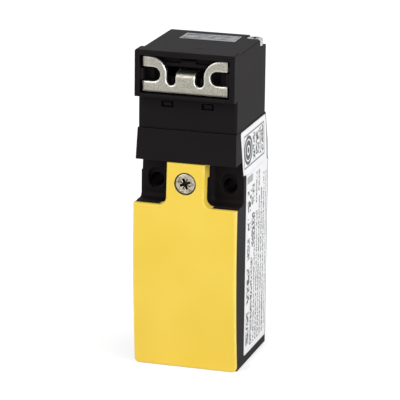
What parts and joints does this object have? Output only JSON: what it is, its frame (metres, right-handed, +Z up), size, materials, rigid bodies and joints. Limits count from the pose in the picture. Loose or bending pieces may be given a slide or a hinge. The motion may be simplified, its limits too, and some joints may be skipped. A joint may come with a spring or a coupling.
{
  "type": "tongue interlock switch",
  "caption": "Slim safety position switch with a bent steel tongue actuator, turnable head, bowed yellow cover and two mounting slots.",
  "frame": {"origin": "on the cable entry's axis at the bottom face", "axes": "+Z up the switch to its head, +X to the right seen from the front, -Y out of the front cover towards the actuator's side"},
  "size_m": [0.0311, 0.0354, 0.0946],
  "materials": {
    "black_moulding": "fine matte moulded polyamide",
    "yellow_moulding": "satin moulded safety yellow",
    "label_white": "coated printed label",
    "grey_moulding": "matte moulded insulating plastic",
    "white_acetal": "smooth white acetal",
    "tin_bronze": "bright rolled strip",
    "silver_contact": "polished silver",
    "zinc_steel": "bright zinc plate",
    "stainless_steel": "satin stamped stainless steel",
    "spring_steel": "drawn spring wire",
    "brass_insert": "knurled brass",
    "seal_rubber": "soft black nitrile rubber",
    "plug_grey": "smooth light grey moulding"
  },
  "bodies": {
    "base": {"base_housing": "black_moulding", "side_label": "label_white", "cover_insert": "brass_insert", "contact_block": "grey_moulding", "fixed_contacts": "tin_bronze", "fixed_contact_tips": "silver_contact", "terminal_clamps": "zinc_steel", "terminal_screws": "zinc_steel", "block_screws": "zinc_steel", "plunger_seal": "seal_rubber", "return_spring": "spring_steel"},
    "contact_carrier": {"contact_slide": "white_acetal", "contact_bridges": "tin_bronze", "bridge_tips": "silver_contact", "contact_springs": "spring_steel"},
    "head": {"head_housing": "black_moulding", "head_base": "black_moulding", "entry_frame": "black_moulding", "top_blanking": "plug_grey", "head_screw": "zinc_steel", "cam_shaft": "stainless_steel"},
    "cam": {"cam_drum": "white_acetal"},
    "push_rod": {"plunger": "stainless_steel"},
    "actuator": {"actuator_key": "stainless_steel"},
    "cover": {"front_cover": "yellow_moulding", "cover_gasket": "seal_rubber", "cover_screw": "zinc_steel", "cover_screw_seal": "seal_rubber"}
  },
  "joints": [
    {"name": "head_turn", "type": "hinge", "parent": "base", "child": "head", "pos_m": [0, -0.0013, 0.0713], "axis": [0, 0, 1], "range_deg": [-90, 180]},
    {"name": "actuator_slide", "type": "slide", "parent": "head", "child": "actuator", "axis": [0, -1, 0], "range_m": [0, 0.024]},
    {"name": "cam_turn", "type": "hinge", "parent": "head", "child": "cam", "pos_m": [0, -0.0013, 0.08065], "axis": [1, 0, 0], "range_deg": [0, 75]},
    {"name": "plunger_slide", "type": "slide", "parent": "head", "child": "push_rod", "axis": [0, 0, -1], "range_m": [0, 0.0026]},
    {"name": "contact_slide_travel", "type": "slide", "parent": "base", "child": "contact_carrier", "axis": [0, 0, -1], "range_m": [0, 0.0026], "deforming": ["return_spring"]},
    {"name": "cover_lift", "type": "slide", "parent": "base", "child": "cover", "axis": [0, -1, 0], "range_m": [0, 0.035]}
  ],
  "couplings": [
    {"joint": "cam_turn", "follows": "actuator_slide", "rad_per_m": 54.536},
    {"joint": "plunger_slide", "follows": "actuator_slide", "ratio": 0.10832},
    {"joint": "contact_slide_travel", "follows": "actuator_slide", "ratio": 0.10832}
  ]
}
